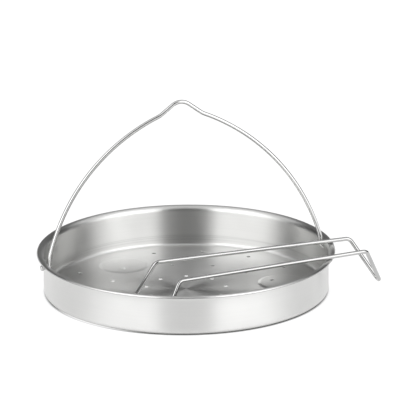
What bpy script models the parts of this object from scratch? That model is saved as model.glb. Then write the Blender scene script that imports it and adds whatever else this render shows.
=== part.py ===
"""A perforated insert for a 22 cm pressure cooker, with its wire bail and its separate wire stand.

Lengths are metres and +Z is up. The origin is the centre of the pan's underside, and +X runs along the
bail's two pins. The stand leans in the pan: its two feet are on the floor and its rails cross the rim.
"""
import math

import bmesh
import bpy
from mathutils import Matrix, Vector

MM = 0.001

# Pressed pan
SHEET = 0.8 * MM
LIP_RADIUS = 108.0 * MM
LIP_WIDTH = 5.0 * MM
WALL_RADIUS = LIP_RADIUS - LIP_WIDTH
PAN_HEIGHT = 30.4 * MM
FLOOR_CORNER = 3.2 * MM
LIP_BEND = 1.6 * MM
LIP_SLOPE = math.radians(22.0)

# Floor pattern: holes on three rings, and three raised rests
HOLE_DIAMETER = 3.0 * MM
PATTERN_TURN = math.radians(-3.0)
INNER_RING, INNER_COUNT = 0.2835 * WALL_RADIUS, 9
MIDDLE_RING, MIDDLE_COUNT = 0.5485 * WALL_RADIUS, 12
OUTER_RING, OUTER_COUNT = 0.8360 * WALL_RADIUS, 15
REST_COUNT = 3
REST_RING = 0.6893 * WALL_RADIUS
REST_RADIUS = 18.5 * MM
REST_SLOPE_WIDTH = 1.4 * MM
REST_HEIGHT = 0.7 * MM
REST_CROWN = 0.3 * MM
REST_HOLE_RING = 0.6233 * WALL_RADIUS
REST_HOLE_TURN = math.radians(4.5)

# Both pieces of wire
WIRE = 3.0 * MM
SEAT_GAP = 0.3 * MM

# Bail
PIN_BELOW_BEND = 1.7 * MM
PIN_BEND = 2.2 * MM
LEG_STRAIGHT = 1.5 * MM
LEG_EASE_RADIUS = 25.0 * MM
LEG_EASE_TURN = math.radians(15.8)
BAIL_ARC_RADIUS = 144.5 * MM
SHOULDER_RADIUS = 16.0 * MM
FLANK_SLOPE = math.radians(37.0)
FLANK_LENGTH = 10.0 * MM
CROWN_RADIUS = 10.0 * MM
HEAD_DIAMETER = 4.0 * MM
HEAD_THICKNESS = 1.1 * MM
BAIL_LEAN = math.radians(6.4)

# Stand
STAND_RISE = 28.2 * MM
RAIL_LENGTH = 147.6 * MM
FEET_HALF_WIDTH = 23.4 * MM
NOSE_HALF_WIDTH = 16.1 * MM
LEG_SPLAY = 15.6 * MM
FEET_SPREAD = 6.6 * MM
STAND_BEND = 5.0 * MM
NOSE_BEND = 3.5 * MM
STAND_TURN = math.radians(8.3)
FOOT_INSET = 12.6 * MM
RIM_OVERHANG = 12.0 * MM

# Facets
PAN_SIDES = 96
REST_SIDES = 24
HOLE_SIDES = 12
WIRE_SIDES = 12
FINE_STEP = math.radians(15.0)
LONG_STEP = math.radians(4.0)

FULL_TURN = 2.0 * math.pi
WIRE_RADIUS = WIRE / 2.0


class Trace:
    """A line in a plane, drawn by straight runs and arcs that stay tangent to each other."""

    def __init__(self, x, y, heading):
        self.points = [Vector((x, y))]
        self.headings = [heading]

    def run(self, length):
        """Go straight on."""
        heading = self.headings[-1]
        step = Vector((math.cos(heading), math.sin(heading))) * length
        self.points.append(self.points[-1] + step)
        self.headings.append(heading)

    def turn(self, radius, angle, step=FINE_STEP):
        """Follow an arc, to the left where the angle is positive."""
        side = math.copysign(1.0, angle)
        start = self.headings[-1]
        centre = self.points[-1] + self.left(start) * side * radius
        count = max(2, math.ceil(abs(angle) / step))
        for index in range(1, count + 1):
            heading = start + angle * index / count
            self.points.append(centre - self.left(heading) * side * radius)
            self.headings.append(heading)

    def offset(self, distance):
        """Return the points moved to the left of the line."""
        return [point + self.left(heading) * distance for point, heading in zip(self.points, self.headings)]

    @staticmethod
    def left(heading):
        """Return the unit vector to the left of a heading."""
        return Vector((-math.sin(heading), math.cos(heading)))


def clear_scene():
    """Remove every object, so that the script gives the same part each time."""
    for obj in list(bpy.data.objects):
        bpy.data.objects.remove(obj, do_unlink=True)


def steel(name, shade, roughness):
    """Return a stainless steel material of one grey shade."""
    material = bpy.data.materials.new(name)
    material.use_nodes = True
    shader = material.node_tree.nodes["Principled BSDF"]
    shader.inputs["Base Color"].default_value = (shade, shade, shade, 1.0)
    shader.inputs["Metallic"].default_value = 1.0
    shader.inputs["Roughness"].default_value = roughness
    return material


def add_object(name, bm, material=None):
    """Turn a bmesh into a named object with outward faces and smooth shading."""
    bmesh.ops.recalc_face_normals(bm, faces=bm.faces)
    mesh = bpy.data.meshes.new(name)
    bm.to_mesh(mesh)
    bm.free()
    smooth_by_angle(mesh)
    if material:
        mesh.materials.append(material)
    obj = bpy.data.objects.new(name, mesh)
    bpy.context.scene.collection.objects.link(obj)
    return obj


def smooth_by_angle(mesh):
    """Shade a mesh smooth, apart from its real edges."""
    mesh.shade_smooth()
    mesh.set_sharp_from_angle(angle=math.radians(35.0))


def lathe(bm, profile, sides):
    """Turn an outline of (radius, height) points about Z, and join it at the axis."""
    verts = [bm.verts.new((radius, 0.0, height)) for radius, height in profile]
    edges = [bm.edges.new(pair) for pair in zip(verts, verts[1:] + verts[:1])]
    bmesh.ops.spin(bm, geom=verts + edges, cent=(0, 0, 0), axis=(0, 0, 1), angle=FULL_TURN, steps=sides,
                   use_merge=True)
    bmesh.ops.remove_doubles(bm, verts=bm.verts, dist=MM / 1000)
    on_axis = [edge for edge in bm.edges if not edge.link_faces]
    bmesh.ops.delete(bm, geom=on_axis, context="EDGES")


def rest_places():
    """Return the centre of each raised rest on the floor."""
    angles = [PATTERN_TURN + FULL_TURN * index / REST_COUNT for index in range(REST_COUNT)]
    return [(math.cos(angle) * REST_RING, math.sin(angle) * REST_RING) for angle in angles]


def rest_surface(base):
    """Return the outline of a rest from its middle to its foot, above a given height."""
    plateau = REST_RADIUS - REST_SLOPE_WIDTH
    outline = []
    for share in (0.0, 0.35, 0.7, 1.0):
        crown = REST_CROWN * (1.0 - share * share)
        outline.append((plateau * share, base + REST_HEIGHT + crown))
    outline.append((REST_RADIUS, base))
    return outline


def rest_tool(name, base, depth):
    """Return three solids of the shape of the rests, reaching down by a depth below their foot."""
    bm = bmesh.new()
    outline = rest_surface(base) + [(REST_RADIUS, base - depth), (0.0, base - depth)]
    for x, y in rest_places():
        single = bmesh.new()
        lathe(single, outline, REST_SIDES)
        bmesh.ops.translate(single, verts=single.verts, vec=(x, y, 0.0))
        copy = bpy.data.meshes.new(name)
        single.to_mesh(copy)
        single.free()
        bm.from_mesh(copy)
        bpy.data.meshes.remove(copy)
    return add_object(name, bm)


def hole_places():
    """Return the floor's hole centres: three rings that skip the rests, and one hole in each rest."""
    places = []
    for radius, count in ((INNER_RING, INNER_COUNT), (MIDDLE_RING, MIDDLE_COUNT), (OUTER_RING, OUTER_COUNT)):
        for index in range(count):
            angle = PATTERN_TURN + FULL_TURN * index / count
            place = Vector((math.cos(angle), math.sin(angle))) * radius
            spacing = min((place - Vector(rest)).length for rest in rest_places())
            if spacing > REST_RADIUS + HOLE_DIAMETER / 2:
                places.append(place)
    for index in range(REST_COUNT):
        angle = PATTERN_TURN + REST_HOLE_TURN + FULL_TURN * index / REST_COUNT
        places.append(Vector((math.cos(angle), math.sin(angle))) * REST_HOLE_RING)
    return places


def lip_measures():
    """Return how long the sloped lip is, and how far it rises above the straight wall with its bend."""
    slope_run = LIP_WIDTH - LIP_BEND * (1.0 - math.sin(LIP_SLOPE))
    length = slope_run / math.cos(LIP_SLOPE)
    return length, LIP_BEND * math.cos(LIP_SLOPE) + length * math.sin(LIP_SLOPE)


def pin_height():
    """Return the height of the bail's pins, which sit just below the bend of the wall."""
    _, lip_rise = lip_measures()
    return PAN_HEIGHT - SHEET / 2 - lip_rise - PIN_BELOW_BEND


def hole_tool():
    """Return one cutter with the floor's holes and the two pin holes in the wall."""
    bm = bmesh.new()
    for place in hole_places():
        bmesh.ops.create_cone(bm, cap_ends=True, segments=HOLE_SIDES, radius1=HOLE_DIAMETER / 2,
                              radius2=HOLE_DIAMETER / 2, depth=20 * SHEET,
                              matrix=Matrix.Translation((place.x, place.y, 0.0)))
    pin_hole = WIRE_RADIUS + SEAT_GAP
    for side in (-1.0, 1.0):
        centre = Matrix.Translation((side * WALL_RADIUS, 0.0, pin_height()))
        bmesh.ops.create_cone(bm, cap_ends=True, segments=2 * HOLE_SIDES, radius1=pin_hole, radius2=pin_hole,
                              depth=5 * SHEET, matrix=centre @ Matrix.Rotation(math.pi / 2, 4, "Y"))
    return add_object("hole_tool", bm)


def pan_section():
    """Return the closed outline of the sheet: floor, corner, wall, bend, sloped lip and its round edge."""
    half = SHEET / 2
    wall = WALL_RADIUS - half
    corner = FLOOR_CORNER - half
    lip_length, lip_rise = lip_measures()
    trace = Trace(0.0, half, 0.0)
    trace.run(wall - corner)
    trace.turn(corner, math.pi / 2)
    trace.run(PAN_HEIGHT - half - lip_rise - half - corner)
    trace.turn(LIP_BEND, LIP_SLOPE - math.pi / 2)
    trace.run(lip_length)
    under = trace.offset(-half)
    inside = trace.offset(half)
    end = trace.points[-1]
    edge = [end + Vector((math.cos(angle), math.sin(angle))) * half
            for angle in (LIP_SLOPE + math.radians(turn) for turn in (-45, 0, 45))]
    return under + edge + inside[::-1]


def apply_modifiers(obj):
    """Give an object the mesh that its modifiers make."""
    graph = bpy.context.evaluated_depsgraph_get()
    mesh = bpy.data.meshes.new_from_object(obj.evaluated_get(graph))
    obj.modifiers.clear()
    obj.data = mesh
    smooth_by_angle(mesh)


def make_pan(material):
    """Make the insert: a turned sheet with rests pressed up in its floor, then punched."""
    bm = bmesh.new()
    lathe(bm, pan_section(), PAN_SIDES)
    pan = add_object("perforated_insert", bm, material)
    tools = [("UNION", rest_tool("rest_blank", SHEET, SHEET / 2)),
             ("DIFFERENCE", rest_tool("rest_recess", 0.0, SHEET)),
             ("DIFFERENCE", hole_tool())]
    for operation, tool in tools:
        tool.hide_render = True
        tool.display_type = "WIRE"
        cut = pan.modifiers.new(tool.name, "BOOLEAN")
        cut.operation = operation
        cut.solver = "EXACT"
        cut.object = tool
    apply_modifiers(pan)
    for _, tool in tools:
        bpy.data.objects.remove(tool, do_unlink=True)
    return pan


def sweep(name, path, radii, material):
    """Make a round wire along a path, with a radius at each point and a pole beyond each end."""
    bm = bmesh.new()
    tangents = []
    for index in range(len(path)):
        before = path[max(index - 1, 0)]
        after = path[min(index + 1, len(path) - 1)]
        tangents.append((after - before).normalized())
    side = tangents[0].orthogonal().normalized()
    rings = []
    for index, (point, tangent, radius) in enumerate(zip(path, tangents, radii)):
        if index:
            side = tangents[index - 1].rotation_difference(tangent) @ side
        up = tangent.cross(side)
        ring = []
        for number in range(WIRE_SIDES):
            angle = FULL_TURN * number / WIRE_SIDES
            ring.append(bm.verts.new(point + (side * math.cos(angle) + up * math.sin(angle)) * radius))
        rings.append(ring)
    for first, second in zip(rings, rings[1:]):
        for number in range(WIRE_SIDES):
            following = (number + 1) % WIRE_SIDES
            bm.faces.new((first[number], first[following], second[following], second[number]))
    bm.faces.new(rings[0][::-1])
    bm.faces.new(rings[-1])
    return add_object(name, bm, material)


def bail_half():
    """Draw half of the bail upright in its own plane, from one pin's tip to the middle of its crown."""
    leg = WALL_RADIUS - SHEET - SEAT_GAP - WIRE_RADIUS
    start = WALL_RADIUS + SEAT_GAP
    trace = Trace(start, 0.0, math.pi)
    trace.run(start - leg - PIN_BEND)
    trace.turn(PIN_BEND, -math.pi / 2)
    trace.run(LEG_STRAIGHT)
    trace.turn(LEG_EASE_RADIUS, LEG_EASE_TURN)
    flank = math.pi - FLANK_SLOPE
    lean_in = trace.headings[-1]
    crown_reach = CROWN_RADIUS * math.sin(flank)
    flank_reach = -FLANK_LENGTH * math.cos(flank)
    reach = BAIL_ARC_RADIUS * math.sin(lean_in) + SHOULDER_RADIUS * math.sin(flank) + crown_reach
    reach += flank_reach - trace.points[-1].x
    shoulder = math.pi - math.asin(reach / (BAIL_ARC_RADIUS + SHOULDER_RADIUS))
    trace.turn(BAIL_ARC_RADIUS, shoulder - lean_in, LONG_STEP)
    trace.turn(SHOULDER_RADIUS, flank - shoulder)
    trace.run(FLANK_LENGTH)
    trace.turn(CROWN_RADIUS, math.pi - flank)
    return trace.points


def make_bail(material):
    """Make the bail with its pins on the hinge axis, and lean it back as it stands at rest."""
    head = HEAD_DIAMETER / 2
    inner = WALL_RADIUS + SEAT_GAP
    head_rings = [(inner + HEAD_THICKNESS, head * 0.55), (inner + HEAD_THICKNESS * 0.75, head * 0.88),
                  (inner + HEAD_THICKNESS * 0.4, head), (inner, head)]
    half = [Vector((x, 0.0, 0.0)) for x, _ in head_rings]
    half += [Vector((x, 0.0, height)) for x, height in bail_half()]
    half_radii = [radius for _, radius in head_rings] + [WIRE_RADIUS] * (len(half) - len(head_rings))
    mirrored = [Vector((-point.x, 0.0, point.z)) for point in half[-2::-1]]
    bail = sweep("carrying_bail", half + mirrored, half_radii + half_radii[-2::-1], material)
    bail.location = (0.0, 0.0, pin_height())
    bail.rotation_euler = (-BAIL_LEAN, 0.0, 0.0)
    return bail


def rounded_path(corners, bends):
    """Return a line through corners in space, each one but the ends rounded by an arc."""
    path = [corners[0]]
    for before, corner, after, radius in zip(corners, corners[1:], corners[2:], bends):
        back = (before - corner).normalized()
        ahead = (after - corner).normalized()
        opening = back.angle(ahead)
        turn = math.pi - opening
        centre = corner + (back + ahead).normalized() * radius / math.sin(opening / 2)
        start = corner + back * radius / math.tan(opening / 2) - centre
        end = corner + ahead * radius / math.tan(opening / 2) - centre
        count = max(3, math.ceil(turn / FINE_STEP))
        for index in range(count + 1):
            share = index / count
            point = start * math.sin((1.0 - share) * turn) + end * math.sin(share * turn)
            path.append(centre + point / math.sin(turn))
    path.append(corners[-1])
    return path


def stand_path():
    """Return the stand's wire: foot, leg, rail, nose, rail, leg and foot, from the middle of its feet end."""
    slant = math.hypot(LEG_SPLAY, STAND_RISE)
    centre = slant - NOSE_BEND
    half_angle = math.atan2(NOSE_HALF_WIDTH, centre)
    half_angle -= math.asin(NOSE_BEND / math.hypot(NOSE_HALF_WIDTH, centre))
    stretch = NOSE_HALF_WIDTH / math.tan(half_angle) / slant
    foot = Vector((-LEG_SPLAY, FEET_HALF_WIDTH + FEET_SPREAD, -STAND_RISE))
    feet_corner = Vector((0.0, FEET_HALF_WIDTH, 0.0))
    nose_corner = Vector((RAIL_LENGTH, NOSE_HALF_WIDTH, 0.0))
    nose = Vector((RAIL_LENGTH + LEG_SPLAY * stretch, 0.0, -STAND_RISE * stretch))
    flip = Matrix.Diagonal((1.0, -1.0, 1.0))
    corners = [foot, feet_corner, nose_corner, nose, flip @ nose_corner, flip @ feet_corner, flip @ foot]
    return rounded_path(corners, [STAND_BEND, STAND_BEND, NOSE_BEND, STAND_BEND, STAND_BEND])


def stand_place():
    """Return where the stand's feet end lies, along and across its length, from the pan's middle.

    The nearer foot keeps its inset from the floor's flat edge and the farther rail its overhang past the
    rim, found together in a few rounds.
    """
    foot_ring = WALL_RADIUS - FLOOR_CORNER - FOOT_INSET
    feet = FEET_HALF_WIDTH + FEET_SPREAD
    across = 0.0
    for _ in range(40):
        along = rim_reach(across + NOSE_HALF_WIDTH) + RIM_OVERHANG - RAIL_LENGTH
        room = foot_ring ** 2 - (along - LEG_SPLAY) ** 2
        aim = feet - math.sqrt(max(room, feet ** 2))
        across += (aim - across) / 2
    return along, across


def rim_reach(across):
    """Return how far along from the pan's middle a rail meets the rim, at a distance across."""
    return math.sqrt(LIP_RADIUS ** 2 - across ** 2)


def stand_tilt(along, across):
    """Return the tilt that puts the feet on the floor and the rails on the rim."""
    drop = PAN_HEIGHT - SHEET
    contacts = [rim_reach(across + side * NOSE_HALF_WIDTH) - along for side in (-1.0, 1.0)]
    contact = min(contacts) if drop > STAND_RISE else max(contacts)
    span = contact + LEG_SPLAY
    return math.asin(drop / math.hypot(span, STAND_RISE)) - math.atan2(STAND_RISE, span)


def make_stand(material):
    """Make the stand with round wire ends, and lean it in the pan."""
    path = stand_path()
    dome = [(0.0, 1.0), (0.5, 0.866), (0.866, 0.5)]
    first = (path[0] - path[1]).normalized()
    last = (path[-1] - path[-2]).normalized()
    start = [path[0] + first * WIRE_RADIUS * rise for rise, _ in dome[:0:-1]]
    finish = [path[-1] + last * WIRE_RADIUS * rise for rise, _ in dome[1:]]
    radii = [WIRE_RADIUS * share for _, share in dome[:0:-1]]
    radii += [WIRE_RADIUS] * len(path)
    radii += [WIRE_RADIUS * share for _, share in dome[1:]]
    stand = sweep("wire_stand", start + path + finish, radii, material)
    along, across = stand_place()
    tilt = stand_tilt(along, across)
    height = SHEET + SEAT_GAP + WIRE_RADIUS + STAND_RISE * math.cos(tilt) + LEG_SPLAY * math.sin(tilt)
    turn = Matrix.Rotation(STAND_TURN, 3, "Z")
    stand.location = turn @ Vector((along, across, height))
    stand.rotation_euler = (0.0, -tilt, STAND_TURN)
    return stand


def main():
    """Build the three pieces."""
    clear_scene()
    make_pan(steel("brushed_steel", 0.62, 0.28))
    make_bail(steel("bail_wire", 0.66, 0.16))
    make_stand(steel("stand_wire", 0.66, 0.16))
    bpy.context.view_layer.update()


main()
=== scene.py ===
"""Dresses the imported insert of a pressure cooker: its perforated pan, its wire bail and its wire stand.

Lengths are metres in the frame of the CAD: +Z is up, the origin is the middle of the pan's underside
and +X runs along the bail's two pins.
"""
import logging
import math
from dataclasses import dataclass, field
from enum import Enum

import bpy
import numpy as np
from mathutils import Matrix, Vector
from mathutils.geometry import delaunay_2d_cdt


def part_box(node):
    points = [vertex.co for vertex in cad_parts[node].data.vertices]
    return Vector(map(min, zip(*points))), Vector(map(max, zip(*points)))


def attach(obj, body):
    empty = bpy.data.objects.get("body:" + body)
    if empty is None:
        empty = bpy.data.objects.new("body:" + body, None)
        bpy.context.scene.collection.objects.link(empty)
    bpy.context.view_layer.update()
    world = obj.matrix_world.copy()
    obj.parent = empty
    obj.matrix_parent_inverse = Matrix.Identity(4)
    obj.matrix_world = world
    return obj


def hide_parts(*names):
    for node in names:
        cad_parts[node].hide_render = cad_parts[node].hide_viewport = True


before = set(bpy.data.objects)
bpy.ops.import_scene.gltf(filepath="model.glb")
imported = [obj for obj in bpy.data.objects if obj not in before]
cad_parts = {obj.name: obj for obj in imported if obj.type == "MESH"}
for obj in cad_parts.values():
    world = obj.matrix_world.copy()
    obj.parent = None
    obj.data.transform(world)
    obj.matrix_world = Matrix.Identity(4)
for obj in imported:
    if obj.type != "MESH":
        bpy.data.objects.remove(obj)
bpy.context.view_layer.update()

Array = np.ndarray
MM = 0.001
FULL_TURN = 2.0 * math.pi

log = logging.getLogger("cooker_insert")


class Body(Enum):
    """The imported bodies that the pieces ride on."""

    INSERT = "insert"
    BAIL = "bail"
    STAND = "stand"


class Face(Enum):
    """The two faces of the pressed sheet, as the side of its middle that they lie on."""

    UPPER = 1.0
    UNDER = -1.0


# Node trees

class Value:
    """A number in a node tree, on which Python's operators add Math nodes."""

    def __init__(self, graph: "Graph", socket: bpy.types.NodeSocket) -> None:
        """Wrap one output socket of a graph."""
        self.graph = graph
        self.socket = socket

    def math(self, operation: str, *others: "Value | float") -> "Value":
        """Add a Math node to this number.

        Args:
            operation: The name of the Math node's operation.
            others: The operation's further numbers.

        Returns:
            The result as a number of the same graph.
        """
        inputs = dict(enumerate((self, *others)))
        return self.graph.value("ShaderNodeMath", {"operation": operation}, inputs)

    def __add__(self, other: "Value | float") -> "Value":
        """Return self + other."""
        return self.math("ADD", other)

    def __radd__(self, other: float) -> "Value":
        """Return other + self."""
        return self.math("ADD", other)

    def __sub__(self, other: "Value | float") -> "Value":
        """Return self - other."""
        return self.math("SUBTRACT", other)

    def __rsub__(self, other: float) -> "Value":
        """Return other - self."""
        return self.math("MULTIPLY_ADD", -1.0, other)

    def __mul__(self, other: "Value | float") -> "Value":
        """Return self * other."""
        return self.math("MULTIPLY", other)

    def __rmul__(self, other: float) -> "Value":
        """Return other * self."""
        return self.math("MULTIPLY", other)

    def __truediv__(self, other: "Value | float") -> "Value":
        """Return self / other."""
        return self.math("DIVIDE", other)

    def root(self) -> "Value":
        """Return the square root."""
        return self.math("SQRT")

    def largest(self, other: "Value | float") -> "Value":
        """Return the larger of two numbers."""
        return self.math("MAXIMUM", other)

    def ramp(self, low: float, high: float) -> "Value":
        """Return a smooth step that is 0 up to low and 1 from high on."""
        settings = {"interpolation_type": "SMOOTHSTEP"}
        inputs = {"Value": self, "From Min": low, "From Max": high}
        return self.graph.value("ShaderNodeMapRange", settings, inputs)


class Graph:
    """A node tree that is built from empty, one node at a time."""

    def __init__(self, tree: bpy.types.NodeTree) -> None:
        """Empty a node tree and take it over."""
        self.tree = tree
        tree.nodes.clear()

    def node(self, kind: str, settings: dict | None = None, inputs: dict | None = None) -> bpy.types.Node:
        """Add a node.

        Args:
            kind: The node's type.
            settings: Properties of the node, which are set first.
            inputs: What goes into its sockets by name or number: a Value, a socket or a constant.

        Returns:
            The new node.
        """
        node = self.tree.nodes.new(kind)
        for name, setting in (settings or {}).items():
            setattr(node, name, setting)
        for key, entry in (inputs or {}).items():
            source = entry.socket if isinstance(entry, Value) else entry
            if isinstance(source, bpy.types.NodeSocket):
                self.tree.links.new(source, node.inputs[key])
            else:
                node.inputs[key].default_value = source
        return node

    def value(self, kind: str, settings: dict | None = None, inputs: dict | None = None,
              output: str | int = 0) -> Value:
        """Add a node and return one of its outputs as a number, by its name or place."""
        return Value(self, self.node(kind, settings, inputs).outputs[output])

    def vector(self, x: Value | float, y: Value | float, z: Value | float) -> bpy.types.NodeSocket:
        """Return a vector of three numbers."""
        return self.node("ShaderNodeCombineXYZ", None, {0: x, 1: y, 2: z}).outputs[0]

    def parts(self, source: bpy.types.NodeSocket) -> tuple[Value, Value, Value]:
        """Return a vector's three numbers."""
        split = self.node("ShaderNodeSeparateXYZ", None, {0: source})
        return tuple(Value(self, output) for output in split.outputs)

    def noise(self, place: bpy.types.NodeSocket, scale: float, detail: float, roughness: float = 0.5) -> Value:
        """Return a noise from 0 to 1 at a place."""
        inputs = {"Vector": place, "Scale": scale, "Detail": detail, "Roughness": roughness}
        return self.value("ShaderNodeTexNoise", None, inputs)

    def blend(self, share: Value | float, first: tuple | bpy.types.NodeSocket,
              second: tuple | bpy.types.NodeSocket) -> bpy.types.NodeSocket:
        """Return a mix of two colours."""
        return self.node("ShaderNodeMix", {"data_type": "RGBA"}, {0: share, 6: first, 7: second}).outputs[2]

    def bump(self, height: Value, distance: float, strength: float) -> bpy.types.NodeSocket:
        """Return a normal that is tilted by the slope of a height."""
        inputs = {"Height": height, "Distance": distance, "Strength": strength}
        return self.node("ShaderNodeBump", None, inputs).outputs[0]


# Finishes

@dataclass(frozen=True)
class BrushedSteel:
    """Stainless sheet, brushed round the pan's axis, as seen on its floor, walls and lip."""

    shade: float = 0.74
    warmth: float = 0.012
    roughness: float = 0.34
    roughness_spread: float = 0.05
    anisotropy: float = 0.9
    line_pitch: float = 0.3 * MM
    band_pitch: float = 1.7 * MM
    line_length: float = 1.4
    band_length: float = 0.7
    line_share: float = 0.55
    grain_share: float = 0.35
    cloud_scale: float = 28.0
    cloud_roughness: float = 0.05
    tone_span: tuple = (0.25, 0.75)
    tone_depth: float = 0.35
    tone_base: float = 0.5
    dark_share: float = 0.8
    light_share: float = 1.07
    axis_limit: float = 0.2 * MM
    brush_rotation: float = 0.25
    bump_depth: float = 0.004 * MM
    bump_strength: float = 0.5
    mark_from: tuple = (3.0 * MM, 4.5 * MM)
    mark_to: tuple = (7.0 * MM, 10.5 * MM)
    mark_wall: tuple = (102.45 * MM, 102.55 * MM)
    mark_pitch: float = 0.9 * MM
    mark_length: float = 0.5
    mark_span: tuple = (0.48, 0.62)
    mark_depth: float = 0.55
    foot_depth: float = 0.35
    cut_shade: float = 0.35
    cut_roughness: float = 0.2

    def material(self) -> bpy.types.Material:
        """Return the material of the brushed sheet, which is darker and duller on its cut edges.

        The brushing is noise that changes fast across the sheet's section, as radius plus height, and
        slowly round the axis, as a point on a small circle, so that it has no seam. The foot of the inner
        wall, just above the floor's corner, is darker, with streaks round it.
        """
        material = bpy.data.materials.new("brushed_steel")
        material.use_nodes = True
        graph = Graph(material.node_tree)
        place = graph.node("ShaderNodeTexCoord").outputs["Object"]
        x, y, z = graph.parts(place)
        radius = (x * x + y * y).root().largest(self.axis_limit)
        across = radius + z
        east = x / radius * self.line_length
        north = y / radius * self.line_length
        lines = graph.noise(graph.vector(east, north, across / self.line_pitch), 1.0, 3.0, 0.6)
        band_place = graph.vector(east * self.band_length, north * self.band_length, across / self.band_pitch)
        bands = graph.noise(band_place, 1.0, 2.0)
        clouds = graph.noise(place, self.cloud_scale, 2.0)
        grain = lines * self.line_share + bands * (1.0 - self.line_share)
        mixed = grain * self.grain_share + clouds * (1.0 - self.grain_share)
        tone = mixed.ramp(*self.tone_span) * self.tone_depth + self.tone_base
        inside = 1.0 - radius.ramp(*self.mark_wall)
        foot = z.ramp(*self.mark_from) * (1.0 - z.ramp(*self.mark_to)) * inside
        mark_place = graph.vector(east * self.mark_length, north * self.mark_length, z / self.mark_pitch)
        marks = graph.noise(mark_place, 1.0, 1.0).ramp(*self.mark_span)
        tone = tone * (1.0 - foot * (marks * self.mark_depth + self.foot_depth))
        dark, light = self.shade * self.dark_share, self.shade * self.light_share
        brushed = graph.blend(tone, (dark, dark, dark * (1 - self.warmth), 1.0),
                              (light, light, light * (1 - self.warmth), 1.0))
        cut = graph.value("ShaderNodeAttribute", {"attribute_name": "cut"}, None, "Fac")
        colour = graph.blend(cut, brushed, (self.cut_shade, self.cut_shade, self.cut_shade, 1.0))
        rough = (grain - 0.5) * self.roughness_spread + (clouds - 0.5) * self.cloud_roughness + self.roughness
        rough = rough + cut * self.cut_roughness
        bump = graph.bump(lines, self.bump_depth, self.bump_strength)
        shader = graph.node("ShaderNodeBsdfPrincipled", None, {
            "Base Color": colour, "Metallic": 1.0, "Roughness": rough, "Normal": bump,
            "Anisotropic": self.anisotropy, "Anisotropic Rotation": self.brush_rotation})
        graph.node("ShaderNodeOutputMaterial", None, {"Surface": shader.outputs[0]})
        return material


@dataclass(frozen=True)
class DrawnWire:
    """Bright round steel wire with fine lines along it from the drawing die."""

    name: str
    shade: float = 0.68
    roughness: float = 0.19
    line_count: float = 5.0
    line_length: float = 60.0 * MM
    line_roughness: float = 0.08
    cloud_scale: float = 70.0
    cloud_roughness: float = 0.06
    tone_span: tuple = (0.3, 0.7)
    dark_share: float = 0.93
    light_share: float = 1.04
    warmth: float = 0.01
    bump_depth: float = 0.003 * MM
    bump_strength: float = 0.15

    def material(self) -> bpy.types.Material:
        """Return the material of the wire.

        Its lines are noise on the wire's own map: a point on a circle round the wire, and a slow change
        along it.
        """
        material = bpy.data.materials.new(self.name)
        material.use_nodes = True
        graph = Graph(material.node_tree)
        around, along, _ = graph.parts(graph.node("ShaderNodeUVMap", {"uv_map": "wire"}).outputs[0])
        angle = around * FULL_TURN
        ring = (angle.math("COSINE") * self.line_count, angle.math("SINE") * self.line_count)
        lines = graph.noise(graph.vector(*ring, along / self.line_length), 1.0, 3.0, 0.6)
        place = graph.node("ShaderNodeTexCoord").outputs["Object"]
        clouds = graph.noise(place, self.cloud_scale, 2.0)
        tone = (lines * 0.5 + clouds * 0.5).ramp(*self.tone_span)
        dark, light = self.shade * self.dark_share, self.shade * self.light_share
        colour = graph.blend(tone, (dark, dark, dark, 1.0), (light, light, light * (1.0 - self.warmth), 1.0))
        rough = (lines - 0.5) * self.line_roughness + (clouds - 0.5) * self.cloud_roughness + self.roughness
        bump = graph.bump(lines, self.bump_depth, self.bump_strength)
        shader = graph.node("ShaderNodeBsdfPrincipled", None, {
            "Base Color": colour, "Metallic": 1.0, "Roughness": rough, "Normal": bump})
        graph.node("ShaderNodeOutputMaterial", None, {"Surface": shader.outputs[0]})
        return material


# Meshes

def add_piece(name: str, points: Array, faces: list[Array], material: bpy.types.Material,
              uv: Array | None = None, cut: Array | None = None) -> bpy.types.Object:
    """Put a worked-out surface into the scene as a smooth piece.

    Args:
        name: The piece's name.
        points: One row of three lengths for each vertex.
        faces: Arrays of vertex numbers, each array with its own number of corners.
        material: The piece's finish.
        uv: One row of two numbers for each corner, in the order of the faces.
        cut: For each vertex, 1 on a cut edge of the sheet and 0 elsewhere.

    Returns:
        The new object, at the origin, unturned and unscaled.
    """
    mesh = bpy.data.meshes.new(name)
    corners = np.concatenate([block.ravel() for block in faces])
    totals = np.concatenate([np.full(len(block), block.shape[1]) for block in faces])
    mesh.vertices.add(len(points))
    mesh.vertices.foreach_set("co", points.astype(np.float32).ravel())
    mesh.loops.add(len(corners))
    mesh.loops.foreach_set("vertex_index", corners.astype(np.int32))
    mesh.polygons.add(len(totals))
    mesh.polygons.foreach_set("loop_start", (np.cumsum(totals) - totals).astype(np.int32))
    if uv is not None:
        mesh.uv_layers.new(name="wire").data.foreach_set("uv", uv.astype(np.float32).ravel())
    if cut is not None:
        mesh.attributes.new("cut", "FLOAT", "POINT").data.foreach_set("value", cut.astype(np.float32))
    mesh.update(calc_edges=True)
    mesh.validate()
    mesh.shade_smooth()
    mesh.materials.append(material)
    piece = bpy.data.objects.new(name, mesh)
    bpy.context.scene.collection.objects.link(piece)
    return piece


def ring_faces(upper: Array, lower: Array) -> Array:
    """Return the quads between closed rings of vertex numbers, seen from the side where upper runs backwards.

    Args:
        upper: One closed ring of vertex numbers in each row.
        lower: The rings that they are joined to.

    Returns:
        Four vertex numbers for each quad.
    """
    following = np.roll(upper, -1, axis=-1), np.roll(lower, -1, axis=-1)
    return np.stack([following[0], upper, lower, following[1]], axis=-1).reshape(-1, 4)


# Pressed pan

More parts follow.
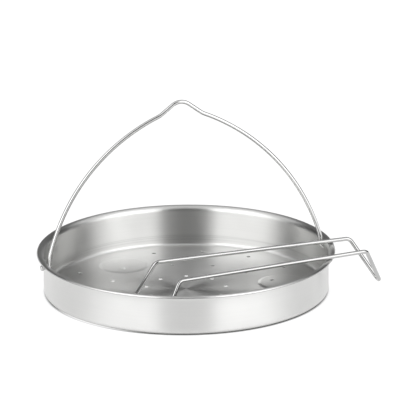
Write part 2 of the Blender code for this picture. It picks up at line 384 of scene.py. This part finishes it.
@dataclass
class PressedPan:
    """The perforated insert: a flat round blank, punched and then pressed into a pan.

    A place on the blank is its distance and direction from the middle, measured along the sheet's middle.
    The mesh keeps clear of the holes, the slopes and the corner by the lengths named clear.
    """

    sheet: float = 0.8 * MM
    lip_radius: float = 107.965 * MM
    lip_width: float = 4.965 * MM
    height: float = 30.4 * MM
    floor_corner: float = 3.2 * MM
    lip_bend: float = 3.5 * MM
    lip_flat: float = 0.6 * MM
    curl_turn: float = math.radians(78.0)
    hole_radius: float = 1.5 * MM
    edge_radius: float = 0.2 * MM
    pattern_turn: float = math.radians(-3.0)
    hole_rings: tuple = ((0.2835, 9), (0.5485, 12), (0.8360, 15))
    rest_count: int = 3
    rest_ring: float = 0.6893
    rest_radius: float = 18.5 * MM
    rest_slope: float = 3.0 * MM
    rest_height: float = 0.55 * MM
    rest_crown: float = 0.45 * MM
    rest_hole_ring: float = 0.6233
    rest_hole_turn: float = math.radians(4.5)
    pin_below_bend: float = 1.3 * MM
    pin_hole_radius: float = 1.8 * MM
    lattice: float = 3.2 * MM
    hole_clear: float = 0.75 * MM
    slope_clear: float = 1.2 * MM
    corner_clear: float = 1.8 * MM
    corner_steps: tuple = (0.9 * MM, 0.25 * MM)
    ring_steps: tuple = (0.12 * MM, 0.5 * MM)
    edge_shares: tuple = (0.0, 0.06, 0.25, 0.6, 1.0)
    sides: int = 320
    rest_sides: int = 108
    hole_sides: int = 28
    finish: BrushedSteel = field(default_factory=BrushedSteel)

    def __post_init__(self) -> None:
        """Work out the lengths of the section's parts, all on the middle of the sheet."""
        half = self.sheet / 2
        self.wall = self.lip_radius - self.lip_width
        self.middle_wall = self.wall - half
        self.corner = self.floor_corner - half
        self.curl = (self.lip_width - self.lip_bend - self.lip_flat) / math.sin(self.curl_turn)
        self.wall_run = self.height - half - self.lip_bend - half - self.corner
        self.floor_end = self.middle_wall - self.corner
        self.corner_end = self.floor_end + self.corner * math.pi / 2
        self.wall_end = self.corner_end + self.wall_run
        self.bend_end = self.wall_end + self.lip_bend * math.pi / 2
        self.curl_start = self.bend_end + self.lip_flat
        self.rim = self.curl_start + self.curl * self.curl_turn
        self.pin_place = self.wall_end - self.pin_below_bend
        self.rests = self._on_ring(self.rest_ring * self.wall, self.rest_count, 0.0)
        self.holes = self._floor_holes()

    def _on_ring(self, radius: float, count: int, turn: float) -> Array:
        """Return evenly spaced places on a ring, as complex numbers."""
        return radius * np.exp(1j * (self.pattern_turn + turn + FULL_TURN * np.arange(count) / count))

    def _floor_holes(self) -> Array:
        """Return the floor's hole centres: three rings that skip the rests, and one hole in each rest."""
        rings = np.concatenate([self._on_ring(share * self.wall, count, 0.0) for share, count in self.hole_rings])
        spacing = np.abs(rings[:, None] - self.rests).min(axis=1)
        free = rings[spacing > self.rest_radius + self.hole_radius]
        in_rests = self._on_ring(self.rest_hole_ring * self.wall, self.rest_count, self.rest_hole_turn)
        return np.concatenate([free, in_rests])

    def hole_gap(self, blank: Array) -> Array:
        """Return how far places on the blank lie from the edge of the nearest hole, below 0 inside one.

        On the wall, a place round the axis is measured on the wall itself, and the blank is wider there.
        """
        floor = np.abs(blank[:, None] - self.holes).min(axis=1) - self.hole_radius
        around = np.arcsin(np.clip(np.abs(blank.imag) / np.maximum(np.abs(blank), MM), 0.0, 1.0))
        pins = np.hypot(np.abs(blank) - self.pin_place, around * self.middle_wall) - self.pin_hole_radius
        return np.minimum(floor, pins)

    def rest_rise(self, blank: Array) -> Array:
        """Return how high the rests lift the floor: a smooth step at their edge, and a low crown."""
        distance = np.abs(blank[:, None] - self.rests).min(axis=1)
        plateau = self.rest_radius - self.rest_slope
        share = np.clip((self.rest_radius - distance) / self.rest_slope, 0.0, 1.0)
        step = share * share * (3.0 - 2.0 * share)
        crown = np.clip(1.0 - (distance / plateau) ** 2, 0.0, None)
        return self.rest_height * step + self.rest_crown * crown

    def press(self, blank: Array, depth: Array | float) -> Array:
        """Return where places on the blank lie once it is pressed.

        The section is a sum of parts, each cut off at its own ends: the flat floor, the corner's quarter
        circle, the straight wall, the lip's bend, its flat top, its curl and, past the rim, a straight edge.
        The place is then moved by its depth along the section's normal, lifted by the rests and turned
        round the axis.

        Args:
            blank: Places on the blank as complex numbers.
            depth: How far each place lies above the sheet's middle.

        Returns:
            One row of three lengths for each place.
        """
        reach = np.abs(blank)
        flat = np.minimum(reach, self.floor_end)
        corner = np.clip((reach - self.floor_end) / self.corner, 0.0, math.pi / 2)
        wall = np.clip(reach - self.corner_end, 0.0, self.wall_run)
        bend = np.clip((reach - self.wall_end) / self.lip_bend, 0.0, math.pi / 2)
        top = np.clip(reach - self.bend_end, 0.0, self.lip_flat)
        curl = np.clip(reach - self.curl_start, 0.0, None) / self.curl
        edge = np.clip(curl - self.curl_turn, 0.0, None) * self.curl
        curl = np.minimum(curl, self.curl_turn)
        heading = corner - bend - curl
        radius = flat + self.corner * np.sin(corner) + self.lip_bend * (1.0 - np.cos(bend)) + top
        radius += self.curl * np.sin(curl) + edge * math.cos(self.curl_turn) - depth * np.sin(heading)
        height = self.sheet / 2 + self.corner * (1.0 - np.cos(corner)) + wall + self.lip_bend * np.sin(bend)
        height -= self.curl * (1.0 - np.cos(curl)) + edge * math.sin(self.curl_turn)
        height += depth * np.cos(heading) + self.rest_rise(blank)
        turned = radius * blank / np.maximum(reach, 1e-9)
        return np.stack([turned.real, turned.imag, height], axis=-1)

    def face_depth(self, blank: Array, face: Face) -> Array:
        """Return the depth of one face of the sheet, which rounds down into each hole by a quarter circle."""
        short = np.clip(self.edge_radius - self.hole_gap(blank), 0.0, self.edge_radius)
        drop = self.edge_radius - np.sqrt(self.edge_radius ** 2 - short ** 2)
        return face.value * (self.sheet / 2 - drop)

    def _hole_rings(self) -> Array:
        """Return closed rings of places round each hole, the hole's edge first, one hole in each row."""
        rounded = np.array(self.edge_shares) * self.edge_radius
        gaps = np.concatenate([rounded, self.edge_radius + np.array(self.ring_steps)])
        circle = np.exp(1j * FULL_TURN * np.arange(self.hole_sides) / self.hole_sides)
        floor = self.holes[:, None, None] + (self.hole_radius + gaps)[:, None] * circle
        pin = (self.pin_hole_radius + gaps)[:, None] * circle
        pin_place = (self.pin_place + pin.real) * np.exp(1j * pin.imag / self.middle_wall)
        pins = np.stack([pin_place, -pin_place.conj()[:, ::-1]])
        return np.concatenate([floor, pins])

    def _blank_places(self) -> Array:
        """Return the blank's other places: a triangle lattice, the rests' slopes and the turned section."""
        count = math.ceil(2 * self.floor_end / self.lattice)
        column, row = np.meshgrid(np.arange(-count, count + 1), np.arange(-count, count + 1))
        lattice = ((column + 0.5 * (row % 2)) + 1j * row * math.sqrt(0.75)).ravel() * self.lattice
        to_rest = np.abs(lattice[:, None] - self.rests).min(axis=1)
        slope_start, slope_end = self.rest_radius - self.rest_slope, self.rest_radius
        on_slope = (to_rest > slope_start - self.slope_clear) & (to_rest < slope_end + self.slope_clear)
        lattice = lattice[(np.abs(lattice) < self.floor_end - self.corner_clear) & ~on_slope]
        distances = self.rest_radius - self.rest_slope * np.linspace(-0.3, 1.3, 13)
        circle = np.exp(1j * FULL_TURN * np.arange(self.rest_sides) / self.rest_sides)
        slopes = (self.rests[:, None, None] + distances[:, None] * circle).ravel()
        section = np.concatenate([
            self.floor_end - np.array(self.corner_steps),
            np.linspace(self.floor_end, self.corner_end, 11),
            np.linspace(self.corner_end, self.wall_end, 9)[1:],
            np.linspace(self.wall_end, self.bend_end, 10)[1:],
            np.linspace(self.curl_start, self.rim, 9)[:-1]])
        turned = np.exp(1j * FULL_TURN * np.arange(self.sides) / self.sides)
        places = np.concatenate([lattice, slopes, (section[:, None] * turned).ravel()])
        return places[self.hole_gap(places) > self.edge_radius + self.hole_clear]

    def build(self) -> bpy.types.Object:
        """Make the pan as one closed shell and dress it.

        The blank's places are joined by triangles once. The upper face presses them, the under face presses
        them again with its triangles reversed, each hole's edges are joined by a wall of quads, and the rim
        is closed by a half circle.

        Returns:
            The finished pan.
        """
        holes = self._hole_rings()
        rim = self.rim * np.exp(1j * FULL_TURN * np.arange(self.sides) / self.sides)
        blank = np.concatenate([holes.ravel(), rim, self._blank_places()])
        numbers = np.arange(holes.size).reshape(holes.shape)[:, 0, :]
        bounds = np.stack([numbers, np.roll(numbers, -1, axis=1)], axis=-1).reshape(-1, 2)
        flat = np.stack([blank.real, blank.imag], axis=-1)
        joined = delaunay_2d_cdt(flat.tolist(), bounds.tolist(), [], 0, 1e-9, False)
        if len(joined[0]) != len(blank):
            raise RuntimeError("the pan's blank has places that meet")
        triangles = np.array(joined[2])
        on_edge = np.zeros(len(blank), bool)
        on_edge[numbers] = True
        kept = triangles[~on_edge[triangles].all(axis=1)]
        count = len(blank)
        upper = self.press(blank, self.face_depth(blank, Face.UPPER))
        under = self.press(blank, self.face_depth(blank, Face.UNDER))
        turn = np.linspace(math.pi / 2, -math.pi / 2, 9)[1:-1, None]
        tips = (self.rim + self.sheet / 2 * np.cos(turn)) * np.exp(1j * np.angle(rim))
        rolled = self.press(tips.ravel(), (self.sheet / 2 * np.sin(turn) * np.ones(self.sides)).ravel())
        first = np.arange(self.sides) + holes.size
        tip_numbers = np.arange(rolled.shape[0]).reshape(-1, self.sides) + 2 * count
        rings = np.concatenate([first[None], tip_numbers, first[None] + count])
        faces = [kept, kept[:, ::-1] + count,
                 ring_faces(numbers[:, ::-1], numbers[:, ::-1] + count), ring_faces(rings[:-1], rings[1:])]
        cut = np.concatenate([np.zeros(2 * count), np.ones(len(rolled))])
        points = np.concatenate([upper, under, rolled])
        piece = add_piece("perforated_pan", points, faces, self.finish.material(), cut=cut)
        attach(piece, Body.INSERT.value)
        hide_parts("perforated_insert")
        return piece


# Bent wires

def turned(vectors: Array, axis: Array, angles: Array) -> Array:
    """Return a vector turned about an axis by each of several angles, by Rodrigues' formula."""
    cosine, sine = np.cos(angles)[:, None], np.sin(angles)[:, None]
    return vectors * cosine + np.cross(axis, vectors) * sine + axis * (axis @ vectors) * (1.0 - cosine)


class WireLine:
    """The middle line of a wire, laid as a wire bender works: straight feeds and round bends."""

    bend_step: float = math.radians(3.0)

    def __init__(self, start: Array, heading: Array, side: Array) -> None:
        """Start the line at a point, with its heading and a side that is square to it."""
        self.points = [start[None]]
        self.headings = [heading[None]]
        self.sides = [side[None]]

    def feed(self, length: float) -> None:
        """Go straight on for a length, in two steps."""
        heading, side = self.headings[-1][-1], self.sides[-1][-1]
        self.points.append(self.points[-1][-1] + heading * length * np.array([[0.5], [1.0]]))
        self.headings.append(np.tile(heading, (2, 1)))
        self.sides.append(np.tile(side, (2, 1)))

    def bend(self, radius: float, angle: float, axis: Array, step: float = bend_step) -> None:
        """Follow an arc: the arm from its centre, the heading and the side all turn about the same axis.

        Args:
            radius: The bend's radius at the middle of the wire.
            angle: How far it turns.
            axis: The unit vector that it turns about.
            step: The turn between two stations.
        """
        angles = np.linspace(0.0, angle, max(4, math.ceil(abs(angle) / step)) + 1)[1:]
        heading, side = self.headings[-1][-1], self.sides[-1][-1]
        arm = np.cross(heading, axis) * math.copysign(radius, angle)
        self.points.append(self.points[-1][-1] - arm + turned(arm, axis, angles))
        self.headings.append(turned(heading, axis, angles))
        self.sides.append(turned(side, axis, angles))

    def stations(self) -> tuple[Array, Array, Array]:
        """Return the line's points, headings and sides as whole arrays."""
        return tuple(np.concatenate(rows) for rows in (self.points, self.headings, self.sides))


@dataclass
class BentWire:
    """A round wire bent to a line, with an end shape at both ends.

    Its skin is drawn in by facet_inset, so that the round wire stays inside the box of the CAD's facets.
    """

    wire_radius: float = 1.5 * MM
    facet_inset: float = 0.025 * MM
    around: int = 28

    def surface(self, name: str, stations: tuple[Array, Array, Array], radii: Array,
                finish: DrawnWire) -> bpy.types.Object:
        """Make the wire's closed surface: a circle carried along the line, with a pole at each end.

        Args:
            name: The piece's name.
            stations: The line's points, headings and sides.
            radii: The circle's radius at each station.
            finish: The wire's finish.

        Returns:
            The new piece, with a map of the share round the wire and the length along it.
        """
        points, headings, sides = stations
        ups = np.cross(headings, sides)
        angle = FULL_TURN * np.arange(self.around) / self.around
        circle = np.cos(angle)[:, None] * sides[:, None] + np.sin(angle)[:, None] * ups[:, None]
        rings = points[:, None] + circle * (radii - self.facet_inset)[:, None, None]
        count = len(points)
        number = np.arange(count * self.around).reshape(count, self.around)
        following = np.roll(number, -1, axis=1)
        quads = np.stack([number[:-1], following[:-1], following[1:], number[1:]], axis=-1).reshape(-1, 4)
        first, last = number.size, number.size + 1
        start_cap = np.stack([np.full(self.around, first), following[0], number[0]], axis=-1)
        end_cap = np.stack([np.full(self.around, last), number[-1], following[-1]], axis=-1)
        length = np.concatenate([[0.0], np.cumsum(np.linalg.norm(np.diff(points, axis=0), axis=1))])
        left = np.arange(self.around) / self.around
        right = left + 1.0 / self.around
        low, high = (np.broadcast_to(part[:, None], (count - 1, self.around)) for part in (length[:-1], length[1:]))
        wide = [np.broadcast_to(part, low.shape) for part in (left, right, right, left)]
        quad_uv = np.stack([np.stack(wide, axis=-1), np.stack([low, low, high, high], axis=-1)], axis=-1)
        cap_uv = [np.stack([np.stack(turn, axis=-1), np.full((self.around, 3), end)], axis=-1)
                  for turn, end in (((left, right, left), 0.0), ((left, left, right), length[-1]))]
        uv = np.concatenate([part.reshape(-1, 2) for part in (quad_uv, *cap_uv)])
        vertices = np.concatenate([rings.reshape(-1, 3), points[:1], points[-1:]])
        return add_piece(name, vertices, [quads, start_cap, end_cap], finish.material(), uv)


@dataclass
class WireBail(BentWire):
    """The bail: one wire from pin to pin over a pointed top, with a peened head outside each wall."""

    pin_height: float = 25.2 * MM
    wall: float = 103.0 * MM
    sheet: float = 0.8 * MM
    seat_gap: float = 0.3 * MM
    pin_bend: float = 2.2 * MM
    leg_straight: float = 1.5 * MM
    ease_radius: float = 25.0 * MM
    ease_turn: float = math.radians(15.8)
    arc_radius: float = 144.5 * MM
    shoulder_radius: float = 16.0 * MM
    flank_slope: float = math.radians(37.0)
    flank_length: float = 10.0 * MM
    crown_radius: float = 10.0 * MM
    head_radius: float = 2.0 * MM
    head_length: float = 2.6 * MM
    head_end: float = 107.9 * MM
    dome_share: float = 0.45
    dome_power: float = 2.6
    neck_radius: float = 1.3 * MM
    neck_end: float = 0.2 * MM
    long_bend: float = 100.0 * MM
    long_step: float = math.radians(1.0)
    short_step: float = math.radians(4.0)
    lean: float = math.radians(6.4)
    finish: DrawnWire = field(default_factory=lambda: DrawnWire("bail_wire"))

    def _moves(self) -> list[tuple[float, float]]:
        """Return half of the bail's moves from its pin to its top, as radius and turn, or 0 and a length."""
        leg = self.wall - self.sheet - self.seat_gap - self.wire_radius
        pin = self.wall + self.seat_gap - leg - self.pin_bend
        lean_in = math.pi / 2 + self.ease_turn
        flank = math.pi - self.flank_slope
        start = leg - self.ease_radius * (1.0 - math.cos(self.ease_turn))
        reach = self.arc_radius * math.sin(lean_in) + (self.shoulder_radius + self.crown_radius) * math.sin(flank)
        reach += -self.flank_length * math.cos(flank) - start
        shoulder = math.pi - math.asin(reach / (self.arc_radius + self.shoulder_radius))
        return [(0.0, pin), (self.pin_bend, -math.pi / 2), (0.0, self.leg_straight),
                (self.ease_radius, self.ease_turn), (self.arc_radius, shoulder - lean_in),
                (self.shoulder_radius, flank - shoulder), (0.0, self.flank_length),
                (self.crown_radius, math.pi - flank)]

    def _half(self) -> tuple[Array, Array, Array]:
        """Return the stations from the pin at +X to the top, in the bail's own leaning plane."""
        axis = np.array([0.0, -1.0, 0.0])
        start = np.array([self.wall + self.seat_gap, 0.0, 0.0])
        line = WireLine(start, np.array([-1.0, 0.0, 0.0]), axis)
        for radius, amount in self._moves():
            if radius:
                step = self.long_step if radius > self.long_bend else self.short_step
                line.bend(radius, amount, axis, step)
            else:
                line.feed(amount)
        return line.stations()

    def build(self) -> bpy.types.Object:
        """Make the bail and lean it back as it stands at rest.

        The half line is joined to its mirror image. The peened head stands clear of the wall on a thinner
        neck: its radius rises over a rounded dome, a little fuller than an ellipse, and falls in at the neck.

        Returns:
            The finished bail.
        """
        points, headings, sides = self._half()
        share = np.array([0.02, 0.08, 0.18, 0.32, 0.5, 0.68, 0.84, 0.95, 1.0])
        dome = self.head_radius * np.sqrt(1.0 - (1.0 - share) ** self.dome_power)
        head_x = self.head_end - self.head_length * np.concatenate([self.dome_share * share, [0.9, 0.97, 1.0]])
        head_radii = np.concatenate([dome, [self.head_radius, self.head_radius * 0.94, self.neck_radius]])
        outer_x = np.concatenate([head_x, [points[0, 0] + self.neck_end]])
        head_points = np.stack([outer_x, 0.0 * outer_x, 0.0 * outer_x], axis=-1)
        points = np.concatenate([head_points, points])
        grown = len(points) - len(headings)
        headings = np.concatenate([np.tile(headings[0], (grown, 1)), headings])
        sides = np.concatenate([np.tile(sides[0], (grown, 1)), sides])
        radii = np.concatenate([head_radii, [self.neck_radius], np.full(len(points) - grown, self.wire_radius)])
        flip = np.array([-1.0, 1.0, 1.0])
        points = np.concatenate([points, (points * flip)[-2::-1]])
        headings = np.concatenate([headings, (-headings * flip)[-2::-1]])
        sides = np.concatenate([sides, sides[-2::-1]])
        radii = np.concatenate([radii, radii[-2::-1]])
        lean = np.array(Matrix.Rotation(-self.lean, 3, "X"))
        stations = points @ lean.T + np.array([0.0, 0.0, self.pin_height]), headings @ lean.T, sides @ lean.T
        piece = self.surface("bail", stations, radii, self.finish)
        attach(piece, Body.BAIL.value)
        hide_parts("carrying_bail")
        return piece


@dataclass
class WireStand(BentWire):
    """The stand: one wire from foot to foot over two rails and a nose, leaning in the pan."""

    rise: float = 28.2 * MM
    rail_length: float = 147.6 * MM
    feet_half_width: float = 23.4 * MM
    nose_half_width: float = 16.1 * MM
    leg_splay: float = 15.6 * MM
    feet_spread: float = 6.6 * MM
    bend: float = 5.0 * MM
    nose_bend: float = 3.5 * MM
    place: tuple = (-31.1604 * MM, -43.6023 * MM, 30.9584 * MM)
    tilt: float = math.radians(0.5872)
    turn: float = math.radians(8.3)
    # painted shade: the same drawn steel as the bail, given a darker shade for the darker reflections it shows down
    # in the pan
    finish: DrawnWire = field(default_factory=lambda: DrawnWire("stand_wire", shade=0.5, roughness=0.13))

    def _corners(self) -> Array:
        """Return the sharp corners of the line from foot to foot, before its bends are rounded."""
        slant = math.hypot(self.leg_splay, self.rise)
        centre = slant - self.nose_bend
        half_angle = math.atan2(self.nose_half_width, centre)
        half_angle -= math.asin(self.nose_bend / math.hypot(self.nose_half_width, centre))
        stretch = self.nose_half_width / math.tan(half_angle) / slant
        near = np.array([
            [-self.leg_splay, self.feet_half_width + self.feet_spread, -self.rise],
            [0.0, self.feet_half_width, 0.0],
            [self.rail_length, self.nose_half_width, 0.0]])
        nose = np.array([[self.rail_length + self.leg_splay * stretch, 0.0, -self.rise * stretch]])
        return np.concatenate([near, nose, (near * [1.0, -1.0, 1.0])[::-1]])

    def _line(self) -> WireLine:
        """Return the wire's line, each corner but the ends rounded by an arc that is tangent to both runs."""
        corners = self._corners()
        runs = np.diff(corners, axis=0)
        lengths = np.linalg.norm(runs, axis=1)
        ways = runs / lengths[:, None]
        side = np.cross(ways[0], ways[1])
        line = WireLine(corners[0], ways[0], side / np.linalg.norm(side))
        radii = np.array([self.bend, self.bend, self.nose_bend, self.bend, self.bend])
        angles = np.arccos(np.clip((ways[:-1] * ways[1:]).sum(axis=1), -1.0, 1.0))
        axes = np.cross(ways[:-1], ways[1:])
        axes /= np.linalg.norm(axes, axis=1)[:, None]
        cuts = np.concatenate([[0.0], radii * np.tan(angles / 2), [0.0]])
        for run, angle, radius, axis in zip(lengths - cuts[:-1] - cuts[1:], angles, radii, axes):
            line.feed(run)
            line.bend(radius, angle, axis)
        line.feed(lengths[-1] - cuts[-2])
        return line

    def build(self) -> bpy.types.Object:
        """Make the stand with round wire ends, and lean it in the pan.

        Returns:
            The finished stand.
        """
        points, headings, sides = self._line().stations()
        dome = np.radians(np.array([84.0, 70.0, 52.0, 34.0, 16.0]))
        rise, share = np.sin(dome)[:, None] * self.wire_radius, np.cos(dome)
        first = points[0] - headings[0] * rise
        last = points[-1] + headings[-1] * rise[::-1]
        points = np.concatenate([first, points, last])
        grown = len(dome)
        headings = np.concatenate([np.tile(headings[0], (grown, 1)), headings, np.tile(headings[-1], (grown, 1))])
        sides = np.concatenate([np.tile(sides[0], (grown, 1)), sides, np.tile(sides[-1], (grown, 1))])
        radii = self.wire_radius * np.concatenate([share, np.ones(len(points) - 2 * grown), share[::-1]])
        turn = np.array(Matrix.Rotation(self.turn, 3, "Z") @ Matrix.Rotation(-self.tilt, 3, "Y"))
        along, across, height = self.place
        flat_turn = np.array(Matrix.Rotation(self.turn, 3, "Z"))
        place = flat_turn @ np.array([along, across, height])
        stations = points @ turn.T + place, headings @ turn.T, sides @ turn.T
        piece = self.surface("stand", stations, radii, self.finish)
        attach(piece, Body.STAND.value)
        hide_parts("wire_stand")
        return piece


# Studio

@dataclass
class Studio:
    """A pale floor, soft light from both sides and above, and the photograph's camera.

    The floor has a painted shadow where the pan covers it, and a painted pool of light under the nearer holes,
    which shows through them.
    """

    azimuth: float = -13.05
    pitch: float = 17.757
    roll: float = -0.47
    lens: float = 672.5
    sensor: float = 36.0
    clip_end: float = 100.0
    place: tuple = (0.01043, -5.13184, 1.71149)
    floor_size: float = 120.0
    floor_shade: float = 0.25
    floor_roughness: float = 0.9
    floor_lift: float = 0.85
    # painted shadow: the floor's lift comes back between these radii, just past the pan's foot
    painted_shadow_radii: tuple = (101.0 * MM, 104.2 * MM)
    # painted pool of light under the nearer holes: its radius, soft edge and middle
    gleam: float = 75.0 * MM
    gleam_edge: float = 0.04
    gleam_place: tuple = (-24.0 * MM, -15.0 * MM)
    side_light: float = 2.35
    side_from: tuple = (math.radians(18.0), math.radians(26.0))
    side_to: tuple = (math.radians(60.0), math.radians(103.0))
    far_light: float = 0.16
    far_from: tuple = (math.radians(120.0), math.radians(170.0))
    top_light: float = 0.85
    top_from: tuple = (math.radians(50.0), math.radians(62.0))
    brow_light: float = 0.85
    brow_reach: float = math.radians(31.0)
    haze: tuple = (math.radians(2.0), math.radians(5.0))

    def camera(self) -> bpy.types.Object:
        """Make the camera: it looks down by the pitch and is turned round the pan by the azimuth."""
        pitch, roll = math.radians(self.pitch), math.radians(self.roll)
        level, lifted = np.array([1.0, 0.0, 0.0]), np.array([0.0, math.sin(pitch), math.cos(pitch)])
        right = math.cos(roll) * level + math.sin(roll) * lifted
        up = math.cos(roll) * lifted - math.sin(roll) * level
        back = np.array([0.0, -math.cos(pitch), math.sin(pitch)])
        pose = np.eye(4)
        pose[:3, :3] = np.stack([right, up, back], axis=1)
        pose[:3, 3] = self.place
        data = bpy.data.cameras.new("photo_camera")
        data.lens = self.lens
        data.sensor_width = self.sensor
        data.clip_end = self.clip_end
        camera = bpy.data.objects.new("photo_camera", data)
        camera.matrix_world = Matrix.Rotation(math.radians(self.azimuth), 4, "Z") @ Matrix(pose.tolist())
        bpy.context.scene.collection.objects.link(camera)
        bpy.context.scene.camera = camera
        return camera

    def floor(self) -> bpy.types.Object:
        """Make the floor: a pale matt sheet that the camera and all reflections see lifted to white.

        The part that the pan covers, out to just past its foot, isn't lifted: a painted shadow.
        The gleam lifts it again in a patch under the nearer holes: a painted pool of light.
        """
        half = self.floor_size / 2
        points = np.array([[-half, -half, 0.0], [half, -half, 0.0], [half, half, 0.0], [-half, half, 0.0]])
        material = bpy.data.materials.new("studio_floor")
        material.use_nodes = True
        graph = Graph(material.node_tree)
        rays = graph.node("ShaderNodeLightPath")
        seen = Value(graph, rays.outputs["Is Camera Ray"]).largest(Value(graph, rays.outputs["Is Glossy Ray"]))
        seen = seen.largest(Value(graph, rays.outputs["Is Transmission Ray"]))
        x, y, _ = graph.parts(graph.node("ShaderNodeTexCoord").outputs["Object"])
        # painted shadow: no lift under the pan and in a ring just round its foot
        free = (x * x + y * y).root().ramp(*self.painted_shadow_radii)
        # painted pool of light: the gleam lifts the floor again under the nearer holes
        east, north = x - self.gleam_place[0], y - self.gleam_place[1]
        start, end = self.gleam * (1.0 - self.gleam_edge), self.gleam * (1.0 + self.gleam_edge)
        gleam = 1.0 - (east * east + north * north).root().ramp(start, end)
        seen = seen * free.largest(gleam)
        shade = self.floor_shade
        shader = graph.node("ShaderNodeBsdfPrincipled", None, {
            "Base Color": (shade, shade, shade, 1.0), "Roughness": self.floor_roughness, "Specular IOR Level": 0.0,
            "Emission Color": (1.0, 1.0, 1.0, 1.0), "Emission Strength": seen * self.floor_lift})
        graph.node("ShaderNodeOutputMaterial", None, {"Surface": shader.outputs[0]})
        piece = add_piece("studio_floor", points, [np.array([[0, 1, 2, 3]])], material)
        return piece

    def world(self) -> None:
        """Light the scene with a large soft light on either side and a soft top.

        A direction's angle from the camera's, round the vertical, gives the side lights and the dim far
        side, and its height gives the top. The brow is the top light's lower edge, which comes further
        down at the sides. The last degrees above the floor are as white as the floor.
        """
        world = bpy.data.worlds.new("studio_light")
        world.use_nodes = True
        bpy.context.scene.world = world
        graph = Graph(world.node_tree)
        x, y, z = graph.parts(graph.node("ShaderNodeTexCoord").outputs["Generated"])
        angle = math.radians(self.azimuth)
        ahead = x * math.sin(angle) - y * math.cos(angle)
        aside = (x * math.cos(angle) + y * math.sin(angle)).math("ABSOLUTE")
        turn = aside.math("ARCTAN2", ahead)
        height = z.math("ARCSINE")
        side = turn.ramp(*self.side_from) * (1.0 - turn.ramp(*self.side_to)) * self.side_light
        walls = side + turn.ramp(*self.far_from) * self.far_light
        top = height.ramp(*self.top_from)
        brow = (height + aside * self.brow_reach).ramp(*self.top_from) * self.brow_light
        light = (walls * (1.0 - top) + top * self.top_light).largest(brow)
        haze = height.ramp(*self.haze)
        sky = graph.node("ShaderNodeBackground", None, {
            "Color": (1.0, 1.0, 1.0, 1.0), "Strength": light * haze + (1.0 - haze)})
        graph.node("ShaderNodeOutputWorld", None, {"Surface": sky.outputs[0]})

    def build(self) -> None:
        """Set up the floor, the light and the camera, with plain colours in the picture."""
        self.camera()
        self.floor()
        self.world()
        bpy.context.scene.view_settings.view_transform = "Standard"


def report(piece: bpy.types.Object, node: str) -> None:
    """Log a piece's size, and how far its box lies from the box of the CAD node that it replaces."""
    mesh = piece.data
    places = np.empty(len(mesh.vertices) * 3, np.float32)
    mesh.vertices.foreach_get("co", places)
    places = places.reshape(-1, 3)
    low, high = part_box(node)
    off = max(np.abs(places.min(0) - np.array(low)).max(), np.abs(places.max(0) - np.array(high)).max())
    log.info("%s: %d faces, box within %.2f mm of %s", piece.name, len(mesh.polygons), off / MM, node)


def main() -> None:
    logging.basicConfig(level=logging.INFO, format="%(name)s: %(message)s")
    Studio().build()
    report(PressedPan().build(), "perforated_insert")
    report(WireBail().build(), "carrying_bail")
    report(WireStand().build(), "wire_stand")


if __name__ == "__main__":
    main()
